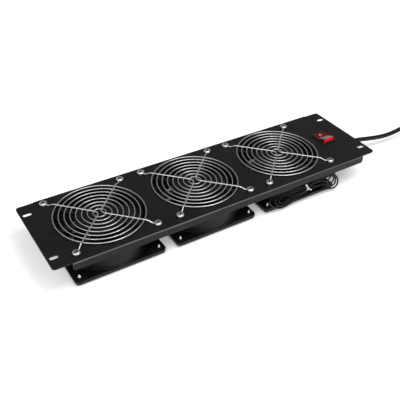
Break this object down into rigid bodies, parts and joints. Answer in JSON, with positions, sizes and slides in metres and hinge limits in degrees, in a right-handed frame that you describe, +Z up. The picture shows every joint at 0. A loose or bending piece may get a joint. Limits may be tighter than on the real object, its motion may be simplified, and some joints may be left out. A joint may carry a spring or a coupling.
{
  "type": "rack fan panel",
  "caption": "Black steel rack panel with a row of axial fans behind chrome wire guards, a lit rocker switch and a mains cord with its plug.",
  "frame": {"origin": "centre of the object's bounding box, without its cord and leads, at the surface that it stands on, which the lower guards' screw heads touch", "axes": "+X along the panel towards the switch, +Y away from the viewer across the panel, +Z up, out of the panel's face"},
  "size_m": [0.708, 0.1726, 0.05],
  "materials": {
    "panel_powder_coat": "fine-textured satin black powder coat on 2 mm steel",
    "fan_casting": "black-painted die-cast aluminium",
    "bearing_steel": "ground bearing steel",
    "motor_iron": "laminated and drawn motor steel",
    "impeller_plastic": "glass-filled black plastic",
    "guard_chrome": "bright nickel-chromium plated steel",
    "lower_guard_coat": "black-coated sheet steel",
    "screw_zinc": "bright zinc-plated steel",
    "switch_black": "black moulded plastic",
    "rocker_red": "clear red moulded plastic with plain white marks",
    "lamp_glass": "clear neon lamp glass",
    "terminal_brass": "tin-washed brass tabs",
    "cover_plastic": "black moulded insulating plastic",
    "cord_jacket": "black flexible cord jacket",
    "tie_plastic": "black plastic tie",
    "pin_brass": "nickel-washed brass blades and rod",
    "lead_insulation": "black thin lead insulation",
    "tie_white": "white paper-covered twist tie"
  },
  "bodies": {
    "root": {"bearings_left": "bearing_steel", "bearings_middle": "bearing_steel", "bearings_right": "bearing_steel", "coil_ties": "tie_plastic", "cord_coil": "cord_jacket", "cord_relief": "cord_jacket", "fan_flanges_left": "fan_casting", "fan_flanges_middle": "fan_casting", "fan_flanges_right": "fan_casting", "fan_frame_left": "fan_casting", "fan_frame_middle": "fan_casting", "fan_frame_right": "fan_casting", "hank_tie": "tie_white", "lead_bosses": "fan_casting", "lead_clips": "tie_plastic", "lead_grommet": "cord_jacket", "lead_hank": "lead_insulation", "lead_left": "lead_insulation", "lead_middle": "lead_insulation", "lead_right": "lead_insulation", "lower_guard_left": "lower_guard_coat", "lower_guard_middle": "lower_guard_coat", "lower_guard_right": "lower_guard_coat", "lower_screws_left": "screw_zinc", "lower_screws_middle": "screw_zinc", "lower_screws_right": "screw_zinc", "motor_seat_left": "fan_casting", "motor_seat_middle": "fan_casting", "motor_seat_right": "fan_casting", "panel": "panel_powder_coat", "plug_body": "cord_jacket", "plug_pins": "pin_brass", "power_cord": "cord_jacket", "stator_left": "motor_iron", "stator_middle": "motor_iron", "stator_right": "motor_iron", "switch_body": "switch_black", "switch_lamp": "lamp_glass", "switch_terminals": "terminal_brass", "terminal_cover": "cover_plastic", "upper_guard_left": "guard_chrome", "upper_guard_middle": "guard_chrome", "upper_guard_right": "guard_chrome", "upper_nuts_left": "screw_zinc", "upper_nuts_middle": "screw_zinc", "upper_nuts_right": "screw_zinc", "upper_screws_left": "screw_zinc", "upper_screws_middle": "screw_zinc", "upper_screws_right": "screw_zinc"},
    "impeller_left_body": {"impeller_left": "impeller_plastic", "rotor_cup_left": "motor_iron", "shaft_left": "bearing_steel"},
    "impeller_middle_body": {"impeller_middle": "impeller_plastic", "rotor_cup_middle": "motor_iron", "shaft_middle": "bearing_steel"},
    "impeller_right_body": {"impeller_right": "impeller_plastic", "rotor_cup_right": "motor_iron", "shaft_right": "bearing_steel"},
    "rocker": {"switch_rocker": "rocker_red"}
  },
  "joints": [
    {"name": "fan_spin_left", "type": "hinge", "parent": "root", "child": "impeller_left_body", "pos_m": [-0.1562, 0, 0.02], "axis": [0, 0, 1], "continuous": true},
    {"name": "fan_spin_middle", "type": "hinge", "parent": "root", "child": "impeller_middle_body", "pos_m": [-0.0204, 0, 0.02], "axis": [0, 0, 1], "continuous": true},
    {"name": "fan_spin_right", "type": "hinge", "parent": "root", "child": "impeller_right_body", "pos_m": [0.1154, 0, 0.02], "axis": [0, 0, 1], "continuous": true},
    {"name": "rocker_tilt", "type": "hinge", "parent": "root", "child": "rocker", "pos_m": [0.201, 0.001, 0.0434], "axis": [1, 0, 0], "range_deg": [0, 21]}
  ]
}
